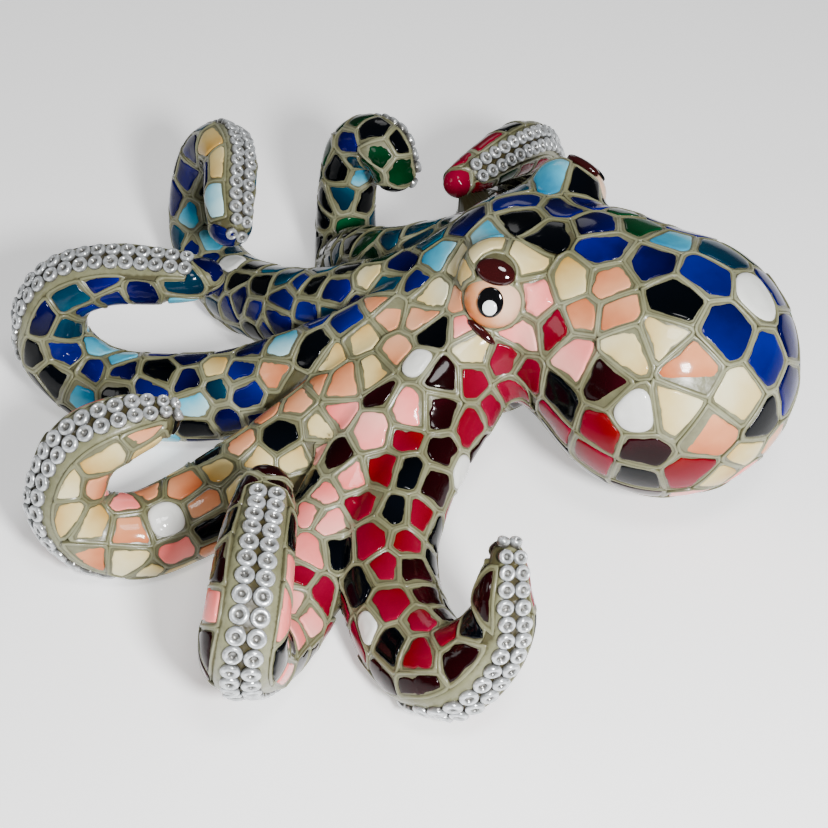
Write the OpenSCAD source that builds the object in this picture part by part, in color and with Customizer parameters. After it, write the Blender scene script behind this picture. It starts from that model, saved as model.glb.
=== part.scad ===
// Mosaic octopus figurine: a cast body and eight curled arms, set with enamel
// tiles, pearl cabochons and two rows of ring-shaped suckers under each arm tip.
// +Z is up, the arms reach towards -X, and the sac hangs over +X.
// The origin is on the table, under the middle of the bounding box.

/* [Body] */
// Radius of the round sac at the back
mantle_r = 34.5; // [33.5:0.1:35]
// Radius of the head between the eyes
head_r = 25; // [24:0.5:26]
// Radius of the neck that joins the head to the sac
neck_r = 28; // [27:0.5:29]

/* [Eyes] */
// Radius of each glazed eye dome
eye_r = 8; // [7.5:0.1:8.5]
// Radius of the brow bump over each eye
brow_r = 10; // [9:0.5:11]
// Diameter of the black pupil
pupil_d = 7; // [6:0.1:8]

/* [Arms] */
// Girth of every arm, relative to the route's own radii
arm_girth = 1; // [0.97:0.01:1.03]
// Sides of an arm's cross-section
arm_sides = 12; // [10:1:16]

/* [Mosaic] */
// Narrowest grout joint, between the corners of two neighbouring tiles
joint_w = 0.8; // [0.6:0.1:1.5]
// Thickness of an enamel tile
tile_t = 1.6; // [1.2:0.1:2]
// How far a tile stands out of the casting
tile_proud = 0.5; // [0.3:0.1:0.8]

/* [Suckers] */
// Gap between two suckers of a row
sucker_gap = 0.5; // [0.4:0.1:1]
// Sucker diameter where an arm thins out to nothing, before its girth is added
sucker_min_d = 2.2; // [2:0.1:2.4]
// Height of a sucker above the casting
sucker_h = 1.2; // [0.9:0.1:1.4]

/* [Hidden] */

// Each arm's route from inside the head to its tip: x, y, z and radius
ROUTES = [
    [[24, 4, 36, 12], [24, -12, 30, 11], [23, -29, 24, 11], [24, -43, 19, 11.3], [27, -56, 14, 12],
        [35, -68, 10.6, 12.2], [47, -78, 10.6, 12], [58, -83, 15, 11], [65, -80, 23, 9.2],
        [68, -77, 32, 7.6], [67, -75, 39, 6.4], [66, -72, 43, 5.2], [65, -70, 45, 4]],
    [[22, -1, 40, 13], [16, -18, 32, 13], [10, -33, 22, 12.5], [9, -52, 13, 12], [11, -72, 9.8, 11.5],
        [13, -91, 11, 11], [16, -104, 20, 10.4], [19, -110, 31, 9.8], [19, -107, 39, 9.4],
        [14, -96, 42, 9], [8, -83, 42, 8], [4, -75, 42, 6.3]],
    [[16, 6, 40, 13], [7, -12, 32, 13], [-6, -28, 22, 12.5], [-18, -45, 13, 12], [-27, -63, 10, 11.5],
        [-35, -76, 9.5, 11], [-45, -83, 13, 10.5], [-50, -85, 22, 10], [-49, -82, 32, 9.3],
        [-45, -78, 39, 8.8], [-39, -72, 42, 7.8], [-35, -67, 42, 6.3], [-33, -65, 42, 5]],
    [[10, 12, 42, 13], [-4, -5, 33, 13], [-23, -15, 22, 12.5], [-43, -23, 13, 12], [-63, -31, 10.4, 12],
        [-80, -33, 9.6, 11], [-93, -32, 16, 10.5], [-94.5, -32, 27, 10], [-90, -28, 37, 9],
        [-80, -22, 41, 8.2], [-67, -17, 42, 7.5], [-58, -13, 42, 6.2], [-55, -11, 42, 5]],
    [[6, 17, 42, 13], [-12, 11, 33, 12.5], [-35, 11, 22, 12], [-60, 19, 12, 11], [-79, 29, 8.6, 10],
        [-90, 37, 14, 9.5], [-91, 40, 28, 9], [-88, 42, 39, 8.8], [-81, 39, 46, 8.3],
        [-73, 31, 48, 7.5], [-67, 21, 46, 7], [-62, 13, 42, 6]],
    [[2, 30, 40, 12.5], [-17, 32, 30, 11.5], [-34, 41, 20, 10.5], [-46, 52, 8.7, 10], [-51, 59, 16, 9],
        [-51, 61, 31, 8.5], [-49, 62, 42, 8.2], [-43, 61, 48, 8], [-35, 57, 50, 7.6], [-32, 56, 45, 6.5]],
    [[9, 37, 38, 12], [-3, 59, 26, 11], [-14, 87, 14, 10], [-16, 103, 8.2, 9.5], [-13, 111, 16, 9.2],
        [-9, 107, 26, 8.6], [-8, 97, 36, 8], [-9, 84, 41, 7.4], [-11, 74, 42, 6.4], [-13, 67, 42, 5.4],
        [-14, 63, 42, 4.6]],
    [[33, 32, 34, 12], [40, 47, 26, 11.5], [46, 62, 15, 10.5], [54, 73, 8.7, 10], [63, 79, 8.3, 9.6],
        [71, 78, 17, 9], [71, 71, 27, 8.4], [66, 66, 33, 7.6], [60, 62, 35, 6.4], [56, 60, 35, 5]]
];
ARMS = len(ROUTES);

// Route point where each arm leaves the web of the head casting
ROOTS = [4, 4, 3, 2.5, 2, 2, 1, 2];

// Roll of each arm's sucker side about its own line, reached near three quarters of its length
ROLLS = [-56, 0, 38, 62, 0, 0, 0, 0];

// Length at the end of each arm without suckers, where a tile wraps the tip
BARE_TIPS = [0, 7.5, 0, 4.5, 0, 0, 4.5, 0];

// Letters of the mosaic: C crimson, M maroon, K black, P pink, H peach, E cream, R royal blue, N navy,
// L light blue, T teal, G green, W pearl. Rings of cells run along each arm from its root to its tip,
// and every ring runs from the low edge on the near side over the top.
ARM_ROWS = [
    ["CPCCKPC", "KCCPKM", "MCMKPC", "KWMCPK", "CMKCPM", "CKCKCKC", "MCCCKCK", "KMMCKCC", "CKMCWCM",
     "MCKMCKM", "CKCKCM", "KCMKCM", "KCMKC", "CKMC"],
    ["PCEKHPM", "MKCWHEK", "CKPMEHP", "KMCPPEK", "CKCMPEH", "MCCPKHP", "KCPPMPK", "CKMPPKC", "PCCPKP",
     "MPPKPC", "KPMPCP", "PMKCPM", "KPPCMK", "PKCMP", "PMCKM", "KMPCK", "MMMM"],
    ["MPKHEHN", "KCHKHEN", "PKPEEHK", "KPPHEHM", "KPEHHEK", "MPEKHEP", "HKEHEKH", "KMEEKHE", "HKHHEKP",
     "EPWHKE", "EHPEHK", "HEEHKP", "EHPKEH", "EHKPH", "EEKHP", "HEKH"],
    ["HKERNLT", "EKHNTLN", "KPHRNTK", "KHEKRTN", "TKNLNTK", "KNRLNRT", "TNTENLK", "NKLRNTR", "LKRKNTL",
     "TNKNLRK", "KLNLTN", "KKRLNR", "KRRLKT", "NTNLR", "TRNTK", "NRLNT", "NRTK", "TLNK"],
    ["NKRLTGN", "TKNEGTK", "NLNKTGN", "KTRKTNG", "TNRTKGT", "NKNKTGK", "TNKKTG", "KTNWTN", "NTRTKG",
     "TNRLTK", "NTRTK", "TNLTN", "KNKTG", "TNEKT", "EKTN", "ENKT", "LTNT"],
    ["TGLTGKT", "KGLTGKT", "TLGKTG", "GTKGTK", "KTKGGT", "GTKGKT", "KGKGT", "TKGGT", "GGTKG", "TGKLK",
     "GNTGK", "KGKG"],
    ["GTKGTKG", "KGTKGTL", "CKGTKG", "KCKGCK", "CMKCKG", "KCCMKC", "CKMCKC", "KCKMC", "CKCKM", "MCKCK",
     "KCMKC", "CKCKC", "KCKC", "CKCK", "CCC"],
    ["GLTGKTG", "LGTKGLT", "TGLKGT", "GTKLTG", "KGTGLK", "TLGKTG", "GKTGL", "LTGKG", "TGKTL", "GLTK",
     "TGKG"],
];

// Rings round the head, neck and sac: place between the balls, latitude, and the cells from the top
// down the near side and up the far one
BODY_ROWS = [
    [0, 25, "TEPKN"], [0, 52, "NLHPRPKMT"], [0, 80, "RLHPCCKMGTGL"], [0.4, 90, "KEPCCMKTGNGKN"],
    [0.95, 90, "NNPCMKCTGNLTKG"], [1.5, 90, "NHPKCKMCTGKNGTRL"], [2, 92, "RKEMCCKMTGNKGTNGT"],
    [2, 115, "RHEMKMCTGNKTGRW"], [2, 138, "REHCPKTNGTN"], [2, 161, "KEPMTN"], [2, 180, "H"]
];

// Centres of the body's round masses
mid_y = 26;
mantle_c = [69, 18.5, 38];
neck_c = [47, 23, 42];
head_c = [25, mid_y, 42];
skirt_c = [14, 22, 25];
skirt_r = 23;
web_r = 8;
web_reach = 0.6;
eye_x = 28;
eye_z = 58;
eye_side = 27;
brow_x = 26;
brow_side = 20.5;
brow_z = 60;
brow_root_side = 14;
brow_root_r = 15;
brow_root_z = 50;

// The seam between the head and the sac, as a distance from the sac's centre
seam_at = 12;
arc_points = 24;
seam_dir = unit(neck_c - mantle_c);

// Arm sweep: steps between two route points, and the half-angle of the flat sucker strip
steps = 2;
strip_half = 28;
tip_angles = [30, 60, 80];
pearl_r = 3.6;
body_pitch = 11;
roll_from = 0.58;
roll_over = 0.15;

function unit(v) = v / norm(v);
function across(v, t) = unit(v - (v * t) * t);
function xyz(p) = [p[0], p[1], p[2]];
function hash(k) = let (v = sin(k * 127.1) * 437.585) v - floor(v);

// Catmull-Rom point of route p, t of the way from point i to the next
function spline(p, i, t) =
    let (
        b = p[i],
        c = p[i + 1],
        a = i == 0 ? 2 * b - c : p[i - 1],
        d = i == len(p) - 2 ? 2 * c - b : p[i + 2]
    )
    0.5 * (2 * b + (c - a) * t + (2 * a - 5 * b + 4 * c - d) * t * t + (3 * b - a - 3 * c + d) * t * t * t);

function track(p) = concat(
    [for (i = [0:len(p) - 2], k = [0:steps - 1]) spline(p, i, k / steps)],
    [p[len(p) - 1]]);
function heading(q, i) = unit(xyz(q[min(i + 1, len(q) - 1)]) - xyz(q[max(i - 1, 0)]));

// Direction of the sucker side at each station, carried along the arm without twist
function sucker_sides(q, i = 0, before = [0, 0, -1]) =
    i == len(q) ? [] :
    let (u = across(before, heading(q, i)))
    concat([u], sucker_sides(q, i + 1, u));
function lengths(q, i = 0, total = 0) =
    i == len(q) ? [] :
    let (s = i == 0 ? 0 : total + norm(xyz(q[i]) - xyz(q[i - 1])))
    concat([s], lengths(q, i + 1, s));

TRACKS = [for (p = ROUTES) track(p)];
LENGTHS = [for (q = TRACKS) lengths(q)];

// The carried direction u, rolled about the heading t by the arm's own angle
function roll(k, i) = ROLLS[k] * max(0, min(1, (LENGTHS[k][i] / arm_length(k) - roll_from) / roll_over));
function rolled(u, t, a) = u * cos(a) + cross(t, u) * sin(a);
SIDES = [for (k = [0:ARMS - 1])
    let (q = TRACKS[k], sides = sucker_sides(q))
    [for (i = [0:len(q) - 1]) rolled(sides[i], heading(q, i), roll(k, i))]];

// Value of one column of a table of stations, at the length s along arm k
function along(k, table, column, s) =
    lookup(s, [for (i = [0:len(table) - 1]) [LENGTHS[k][i], table[i][column]]]);
function arm_point(k, s) = [for (c = [0:3]) along(k, TRACKS[k], c, s)];
function arm_under(k, s) = unit([for (c = [0:2]) along(k, SIDES[k], c, s)]);
function arm_heading(k, s) = unit(xyz(arm_point(k, s + 1)) - xyz(arm_point(k, s - 1)));
function arm_length(k) = LENGTHS[k][len(LENGTHS[k]) - 1];

// One ring of an arm: its first and last points bound the flat sucker strip
function ring(p, u, t) =
    let (v = cross(t, u))
    [for (j = [0:arm_sides - 1])
        let (
            a = strip_half + j * (360 - 2 * strip_half) / (arm_sides - 1),
            w = xyz(p) + arm_girth * p[3] * (u * cos(a) + v * sin(a))
        )
        [w[0], w[1], max(w[2], 0)]];

// Skin of arm k from its station number `from` to station `to`; the tip is rounded
module sweep(k, from, to) {
    q = TRACKS[k];
    n = len(q);
    t_end = heading(q, n - 1);
    u_end = SIDES[k][n - 1];
    r_end = q[n - 1][3];
    body = [for (i = [from:to]) ring(q[i], SIDES[k][i], heading(q, i))];
    tip = [for (a = tip_angles)
        let (c = xyz(q[n - 1]) + t_end * r_end * sin(a))
        ring([c[0], c[1], c[2], r_end * cos(a)], u_end, t_end)];
    rings = to == n - 1 ? concat(body, tip) : body;
    last = len(rings) - 1;
    points = [for (r = rings, w = r) w];
    walls = [for (i = [0:last - 1], j = [0:arm_sides - 1])
        let (j2 = (j + 1) % arm_sides)
        [i * arm_sides + j, (i + 1) * arm_sides + j, (i + 1) * arm_sides + j2, i * arm_sides + j2]];
    split = [for (w = walls, half = [0, 1]) half == 0 ? [w[0], w[1], w[2]] : [w[0], w[2], w[3]]];
    caps = [[for (j = [0:arm_sides - 1]) j], [for (j = [arm_sides - 1:-1:0]) last * arm_sides + j]];
    polyhedron(points, concat(split, caps), convexity = 6);
}

function root_station(k) = steps * ROOTS[k];
function tip_station(k) = len(TRACKS[k]) - 1;

module ball(c, r) {
    translate(c) sphere(r = r, $fn = 24);
}

module link(c1, r1, c2, r2) {
    hull() {
        ball(c1, r1);
        ball(c2, r2);
    }
}

// Web of skin between two neighbouring arm roots
function web_end(k) = xyz(ROUTES[k][0] * (1 - web_reach) + ROUTES[k][1] * web_reach);
module web(p, q) {
    hull() {
        translate(p) sphere(r = web_r, $fn = 16);
        translate(q) sphere(r = web_r, $fn = 16);
        translate(skirt_c) sphere(r = web_r, $fn = 16);
    }
}

function eye_c(side) = [eye_x, mid_y + side * eye_side, eye_z];
function brow_c(side) = [brow_x, mid_y + side * brow_side, brow_z];
function brow_root(side) = [brow_x + 1, mid_y + side * brow_root_side, brow_root_z];
function brow_tile_n(side) = unit([0.24, 0.68 * side, 0.69]);
function eye_axis(side) = unit([0.25, 0.83 * side, 0.5]);

// Half-space beyond the seam, on the sac's side
module sac_side() {
    stand(mantle_c + seam_at * seam_dir, -seam_dir) translate([0, 0, 100]) cube(200, center = true);
}

// The head, neck, brows and the web between the arm roots, in one piece
module head_mass() {
    difference() {
        union() {
            link(head_c, head_r, neck_c, neck_r);
            link(neck_c, neck_r, mantle_c, mantle_r);
            link(head_c, head_r, skirt_c, skirt_r);
            for (side = [-1, 1]) {
                link(brow_root(side), brow_root_r, brow_c(side), brow_r);
            }
            for (k = [0:ARMS - 1]) {
                sweep(k, 0, root_station(k));
            }
            for (k = [0:ARMS - 2]) {
                web(web_end(k), web_end(k + 1));
            }
        }
        sac_side();
        for (side = [-1, 1]) {
            ball(eye_c(side), eye_r);
        }
    }
}

module head() {
    color("#b9b5a2") head_mass();
}

// The sac: a ball with its flat seam towards the neck
module mantle() {
    from_pole = acos(seam_at / mantle_r);
    outline = [for (i = [0:arc_points]) let (a = from_pole + (180 - from_pole) * i / arc_points)
        [max(0, mantle_r * sin(a)), mantle_r * cos(a)]];
    color("#b9b5a2")
        stand(mantle_c, seam_dir) rotate_extrude($fn = 96) polygon(concat([[0, seam_at]], outline));
}

module arm(k) {
    color("#b9b5a2") sweep(k - 1, root_station(k - 1), tip_station(k - 1));
}

// The front right arm lies against its neighbour, which keeps its own full girth
module arm_against_next(k) {
    color("#b9b5a2")
        difference() {
            sweep(k - 1, root_station(k - 1), tip_station(k - 1));
            sweep(k, 0, tip_station(k));
        }
}

// Places its children with +Z along direction n, at the point p
module stand(p, n, turn = 0) {
    translate(p) rotate([0, acos(n[2]), atan2(n[1], n[0])]) rotate([0, 0, turn]) children();
}

module sucker(d) {
    r = d / 2;
    rotate_extrude($fn = 24)
        polygon([[0, -0.6], [r, -0.6], [r, 0.5 * sucker_h], [0.8 * r, sucker_h], [0.45 * r, sucker_h],
            [0.3 * r, 0.3 * sucker_h], [0, 0.3 * sucker_h]]);
}

function sucker_d(r) = sucker_min_d + r / 5;

// Point of the flat strip of arm k, `side` of its middle line, where a sucker stands
function sucker_c(k, s, side) =
    let (
        p = arm_point(k, s),
        u = arm_under(k, s),
        v = cross(arm_heading(k, s), u)
    )
    xyz(p) + u * arm_girth * p[3] * cos(strip_half) + v * side * (sucker_d(p[3]) + 0.3) / 2;

// Lengths along arm k where one row has its suckers, each just clear of the one before it
function sucker_stops(k, side, s, before) =
    s < 0.45 * arm_length(k) ? [] :
    let (c = sucker_c(k, s, side))
    norm(c - before) < sucker_d(arm_point(k, s)[3]) + sucker_gap ? sucker_stops(k, side, s - 0.4, before) :
    concat([s], sucker_stops(k, side, s - 0.4, c));

// Two rows of ring-shaped suckers, from where the arm leaves the table to its tip
module suckers(k) {
    total = arm_length(k - 1);
    color("#d5d3c8")
        for (side = [-1, 1], s = sucker_stops(k - 1, side, total - BARE_TIPS[k - 1], [0, 0, 999])) {
            c = sucker_c(k - 1, s, side);
            d = sucker_d(arm_point(k - 1, s)[3]);
            if (c[2] > d / 2 + 1) {
                stand(c, arm_under(k - 1, s)) sucker(d);
            }
        }
}

module eye(side) {
    color("#e8b58c") translate(eye_c(side)) sphere(r = eye_r, $fn = 64);
}

// A thin cap of the given radius that follows the eye's surface
module eye_cap(side, axis, r, lift) {
    intersection() {
        difference() {
            translate(eye_c(side)) sphere(r = eye_r + lift, $fn = 64);
            translate(eye_c(side)) sphere(r = eye_r, $fn = 64);
        }
        stand(eye_c(side), axis) cylinder(r = r, h = 2 * eye_r, $fn = 48);
    }
}

module pupil(side) {
    color("#0c0c10") eye_cap(side, eye_axis(side), pupil_d / 2, 0.4);
}

module glint(side) {
    color("white")
        stand(eye_c(side), eye_axis(side)) translate([1.2, 0, eye_r + 0.15])
            cylinder(r = 2, h = 0.5, $fn = 32);
}

module brow_tile(side) {
    n = brow_tile_n(side);
    color("#2c0d10") stand(brow_c(side) + n * (brow_r - 1), n) cylinder(r = 4.6, h = 2.2, $fn = 7);
}

// Round masses of the body, with balls at even steps along the cones that join them
function chain(a, ra, b, rb) = [for (f = [0:0.125:1]) [a * (1 - f) + b * f, ra * (1 - f) + rb * f]];
MASSES = [
    each chain(head_c, head_r, neck_c, neck_r),
    each chain(neck_c, neck_r, mantle_c, mantle_r),
    each chain(brow_root(-1), brow_root_r, brow_c(-1), brow_r),
    each chain(brow_root(1), brow_root_r, brow_c(1), brow_r),
    [skirt_c, skirt_r]
];

// How far the ray from c along `out` runs until it leaves the ball m, or 0 if it misses
function leaves(c, out, m) =
    let (
        q = m[0] - c,
        along = q * out,
        rest = m[1] * m[1] - (q * q - along * along)
    )
    rest < 0 ? 0 : along + sqrt(rest);

function clear_of_eyes(p) = min([for (side = [-1, 1]) norm(p - eye_c(side))]) > eye_r + 4;
function clear_of_brow_tiles(p) =
    min([for (side = [-1, 1]) norm(p - brow_c(side) - brow_r * brow_tile_n(side))]) > 8;
function clear_of_body(p) = len([for (m = MASSES) if (norm(p - m[0]) < m[1] + 1) 1]) == 0;
function clear_of_arms(p, own) =
    len([for (k = [0:ARMS - 1], q = TRACKS[k]) if (k != own && norm(p - xyz(q)) < q[3] + 0.5) 1]) == 0;
function clear_of_table(p, n, size) =
    p[2] + min(0, n[2] * tile_proud) - size / 2 * sqrt(1 - n[2] * n[2]) > 0.3;

// Every tile as its place, outward direction, cell size and letter
function arm_tiles(k) = [
    for (i = [0:len(ARM_ROWS[k]) - 1])
        let (
            pitch = arm_length(k) / len(ARM_ROWS[k]),
            s = (i + 0.5) * pitch,
            p = arm_point(k, s),
            u = arm_under(k, s),
            v = cross(arm_heading(k, s), u),
            n = len(ARM_ROWS[k][i]),
            size = min(pitch, p[3] * 280 * PI / 180 / n)
        )
        for (j = [0:n - 1])
            let (
                a = 40 + 280 * (j + 0.5 + (i % 2 == 0 ? 0.2 : -0.2)) / n,
                out = u * cos(a) + v * sin(a),
                c = xyz(p) + out * p[3]
            )
            if (clear_of_body(c) && clear_of_arms(c, k) && clear_of_table(c, out, size) && clear_of_eyes(c))
                [c, out, size, ARM_ROWS[k][i][j]]
];

// The tile that wraps the tip of an arm without suckers there
function tip_tiles(k) =
    BARE_TIPS[k] == 0 ? [] :
    let (
        total = arm_length(k),
        p = arm_point(k, total),
        out = unit(arm_heading(k, total) + 0.6 * arm_under(k, total)),
        row = ARM_ROWS[k][len(ARM_ROWS[k]) - 1]
    )
    [[xyz(p) + out * p[3], out, 1.3 * p[3], row[floor(len(row) / 2)]]];

// Centre, way backwards and cells of one ring of the body
function ring_centre(f) = f < 1 ? head_c * (1 - f) + neck_c * f : neck_c * (2 - f) + mantle_c * (f - 1);
function ring_tiles(i) =
    let (
        f = BODY_ROWS[i][0],
        lat = BODY_ROWS[i][1],
        letters = BODY_ROWS[i][2],
        n = len(letters),
        t = f < 1 ? unit(neck_c - head_c) : -seam_dir,
        u = across([0, 0, 1], t),
        v = cross(u, t),
        c = ring_centre(f)
    )
    [for (j = [0:n - 1])
        let (
            a = 360 * (j + 0.5 * (i % 2)) / n,
            out = (u * cos(a) + v * sin(a)) * sin(lat) - t * cos(lat),
            runs = [for (m = MASSES) leaves(c, out, m)],
            run = max(runs),
            m = MASSES[search([run], runs)[0]],
            p = c + out * run,
            size = n == 1 ? body_pitch : min(body_pitch, 360 / n * PI / 180 * run * sin(lat))
        )
        if (clear_of_arms(p, -1) && clear_of_table(p, unit(p - m[0]), size) && clear_of_eyes(p)
            && clear_of_brow_tiles(p))
            [p, unit(p - m[0]), size, letters[j]]];

TILES = [
    each [for (k = [0:ARMS - 1]) each arm_tiles(k)],
    each [for (k = [0:ARMS - 1]) each tip_tiles(k)],
    each [for (i = [0:len(BODY_ROWS) - 1]) each ring_tiles(i)]
];

module tiles(which) {
    for (i = [0:len(TILES) - 1]) {
        t = TILES[i];
        if (t[3] == which) {
            stand(t[0] + t[1] * (tile_proud - tile_t), t[1], 360 * hash(i))
                cylinder(r = (t[2] - joint_w) / 2, h = tile_t, $fn = 5);
        }
    }
}

module tiles_crimson() {
    color("#b01030") tiles("C");
}

module tiles_maroon() {
    color("#2c0d12") tiles("M");
}

module tiles_black() {
    color("#0a0a0c") tiles("K");
}

module tiles_pink() {
    color("#eba6a2") tiles("P");
}

module tiles_peach() {
    color("#dfa98b") tiles("H");
}

module tiles_cream() {
    color("#d9cfac") tiles("E");
}

module tiles_royal_blue() {
    color("#0f3ba0") tiles("R");
}

module tiles_navy() {
    color("#0b1150") tiles("N");
}

module tiles_light_blue() {
    color("#7cc4d6") tiles("L");
}

module tiles_teal() {
    color("#2c7f8a") tiles("T");
}

module tiles_green() {
    color("#0d6b35") tiles("G");
}

// Round cabochons with a low dome
module pearls() {
    dome = [for (a = [0:30:90]) [pearl_r * cos(a), 0.4 + 1.2 * sin(a)]];
    color("#eeece6")
        for (t = TILES) {
            if (t[3] == "W") {
                stand(t[0], t[1])
                    rotate_extrude($fn = 32) polygon(concat([[0, -1], [pearl_r, -1]], dome));
            }
        }
}

head();
mantle();
arm_against_next(1);  // arm_1
arm(2);  // arm_2
arm(3);  // arm_3
arm(4);  // arm_4
arm(5);  // arm_5
arm(6);  // arm_6
arm(7);  // arm_7
arm(8);  // arm_8
suckers(1);  // suckers_1
suckers(2);  // suckers_2
suckers(3);  // suckers_3
suckers(4);  // suckers_4
suckers(5);  // suckers_5
suckers(6);  // suckers_6
suckers(7);  // suckers_7
suckers(8);  // suckers_8
eye(-1);  // eye_left
eye(1);  // eye_right
pupil(-1);  // pupil_left
pupil(1);  // pupil_right
glint(-1);  // glint_left
glint(1);  // glint_right
brow_tile(-1);  // brow_tile_left
brow_tile(1);  // brow_tile_right
tiles_crimson();
tiles_maroon();
tiles_black();
tiles_pink();
tiles_peach();
tiles_cream();
tiles_royal_blue();
tiles_navy();
tiles_light_blue();
tiles_teal();
tiles_green();
pearls();
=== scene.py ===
"""Looks of a mosaic octopus figurine: cast resin relief, poured enamel tiles, ring suckers and glazed eyes.

The casting's skin is one smooth distance field: arms, head, neck and sac blended. Every mosaic cell is
marched outwards over that skin from its middle until it meets its neighbours, and then gets a raised cast
pad and a domed enamel tile. Lengths are in millimetres until a mesh is made.
"""

import math

import bpy
import numpy as np
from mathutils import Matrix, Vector


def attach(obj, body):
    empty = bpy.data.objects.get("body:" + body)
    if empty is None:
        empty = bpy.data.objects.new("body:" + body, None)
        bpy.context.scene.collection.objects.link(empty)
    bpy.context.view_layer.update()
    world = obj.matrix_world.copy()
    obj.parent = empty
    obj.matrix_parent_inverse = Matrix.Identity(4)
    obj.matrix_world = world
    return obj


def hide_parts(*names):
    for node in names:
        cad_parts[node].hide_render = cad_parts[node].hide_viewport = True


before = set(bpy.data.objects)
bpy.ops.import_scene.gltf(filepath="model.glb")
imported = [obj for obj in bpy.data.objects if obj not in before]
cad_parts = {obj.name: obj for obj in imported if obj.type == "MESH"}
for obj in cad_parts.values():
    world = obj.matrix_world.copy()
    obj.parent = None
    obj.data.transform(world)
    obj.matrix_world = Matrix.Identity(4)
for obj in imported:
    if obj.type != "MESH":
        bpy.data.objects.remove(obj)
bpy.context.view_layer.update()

MM = 0.001

# ---------------- the figure's sizes, in the CAD part's frame

MANTLE_R, HEAD_R, NECK_R, SKIRT_R = 34.5, 25.0, 28.0, 23.0
MID_Y = 26.0
MANTLE_C = np.array([69, 18.5, 38])
NECK_C = np.array([47, 23, 42])
HEAD_C = np.array([25, MID_Y, 42])
SKIRT_C = np.array([14, 22, 25])
EYE_R, EYE_X, EYE_Z, EYE_SIDE = 7.6, 28.0, 58.0, 27.0
BROW_R, BROW_X, BROW_SIDE, BROW_Z = 10.0, 26.0, 20.5, 60.0
BROW_ROOT_R, BROW_ROOT_SIDE, BROW_ROOT_Z = 15.0, 14.0, 50.0
SLIT_FROM_EYE = np.array([-0.4, 6.0, -6.8])

# Angles from the middle of the sucker side: edge of its flat strip, of the painted shade between the sucker
# rows, and of the mosaic
STRIP_HALF, STRIP_DARK, MOSAIC_FROM = math.radians(28), math.radians(21), math.radians(42)
# Share of an arm's length where its turn begins, and over which it grows
ROLL_FROM, ROLL_OVER = 0.58, 0.15
# Each arm's tip: length without suckers, and how far its last cell leans to the sucker side
TIPS = [(0, -0.6), (7.5, 1.4), (0, -0.6), (4.5, 0.6), (0, -0.6), (0, -0.6), (4.5, 0.6), (0, -0.6)]
# How far from its end the mosaic closes round a tip without suckers, over what length and angle
TIP_WRAP, TIP_WRAP_OVER, TIP_WRAP_TURN = 4.5, 2, math.radians(60)

# Smallest distance between two cells, their random shift, and how unevenly they share their room
CELL_GAP = 5.984
JITTER, UNEVEN = 1.9, 9.0
# Farthest that open skin may lie from a cell: on the body, the brows and the arms
FILL_BODY, FILL_BROW, FILL_ARM = 9.6, 8.4, 7.4

# Each arm's route from inside the head to its tip: x, y, z and radius
ROUTES = [
    [[24, 4, 36, 12], [24, -12, 30, 11], [23, -29, 24, 11], [24, -43, 19, 11.3], [27, -56, 14, 12],
     [35, -68, 10.6, 12.2], [47, -78, 10.6, 12], [58, -83, 15, 11], [65, -80, 23, 9.2],
     [68, -77, 32, 7.6], [67, -75, 39, 6.4], [66, -72, 43, 5.2], [65, -70, 45, 4]],
    [[22, -1, 40, 13], [16, -18, 32, 13], [10, -33, 22, 12.5], [9, -52, 13, 12], [11, -72, 9.8, 11.5],
     [13, -91, 11, 11], [16, -104, 20, 10.4], [19, -110, 31, 9.8], [19, -107, 39, 9.4],
     [14, -96, 42, 9], [8, -83, 42, 8], [4, -75, 42, 6.3]],
    [[16, 6, 40, 13], [7, -12, 32, 13], [-6, -28, 22, 12.5], [-18, -45, 13, 12], [-27, -63, 10, 11.5],
     [-35, -76, 9.5, 11], [-45, -83, 13, 10.5], [-50, -85, 22, 10], [-49, -82, 32, 9.3],
     [-45, -78, 39, 8.8], [-39, -72, 42, 7.8], [-35, -67, 42, 6.3], [-33, -65, 42, 5]],
    [[10, 12, 42, 13], [-4, -5, 33, 13], [-23, -15, 22, 12.5], [-43, -23, 13, 12], [-63, -31, 10.4, 12],
     [-80, -33, 9.6, 11], [-93, -32, 16, 10.5], [-94.5, -32, 27, 10], [-90, -28, 37, 9],
     [-80, -22, 41, 8.2], [-67, -17, 42, 7.5], [-58, -13, 42, 6.2], [-55, -11, 42, 5]],
    [[6, 17, 42, 13], [-12, 11, 33, 12.5], [-35, 11, 22, 12], [-60, 19, 12, 11], [-79, 29, 8.6, 10],
     [-90, 37, 14, 9.5], [-91, 40, 28, 9], [-88, 42, 39, 8.8], [-81, 39, 46, 8.3],
     [-73, 31, 48, 7.5], [-67, 21, 46, 7], [-62, 13, 42, 6]],
    [[2, 30, 40, 12.5], [-17, 32, 30, 11.5], [-34, 41, 20, 10.5], [-46, 52, 8.7, 10], [-51, 59, 16, 9],
     [-51, 61, 31, 8.5], [-49, 62, 42, 8.2], [-43, 61, 48, 8], [-35, 57, 50, 7.6], [-32, 56, 45, 6.5]],
    [[9, 37, 38, 12], [-3, 59, 26, 11], [-14, 87, 14, 10], [-16, 103, 8.2, 9.5], [-13, 111, 16, 9.2],
     [-9, 107, 26, 8.6], [-8, 97, 36, 8], [-9, 84, 41, 7.4], [-11, 74, 42, 6.4], [-13, 67, 42, 5.4],
     [-14, 63, 42, 4.6]],
    [[33, 32, 34, 12], [40, 47, 26, 11.5], [46, 62, 15, 10.5], [54, 73, 8.7, 10], [63, 79, 8.3, 9.6],
     [71, 78, 17, 9], [71, 71, 27, 8.4], [66, 66, 33, 7.6], [60, 62, 35, 6.4], [56, 60, 35, 5]],
]
# Turn of each arm's sucker side about its own line, in degrees
ROLLS = [-56, 0, 38, 62, 0, 0, 0, 0]

# Letters that are no key of COLOURS: a pearl and a plump pink drop
PEARL_CELL, DROP_CELL = "W", "D"
SPECIAL = PEARL_CELL + DROP_CELL
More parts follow.
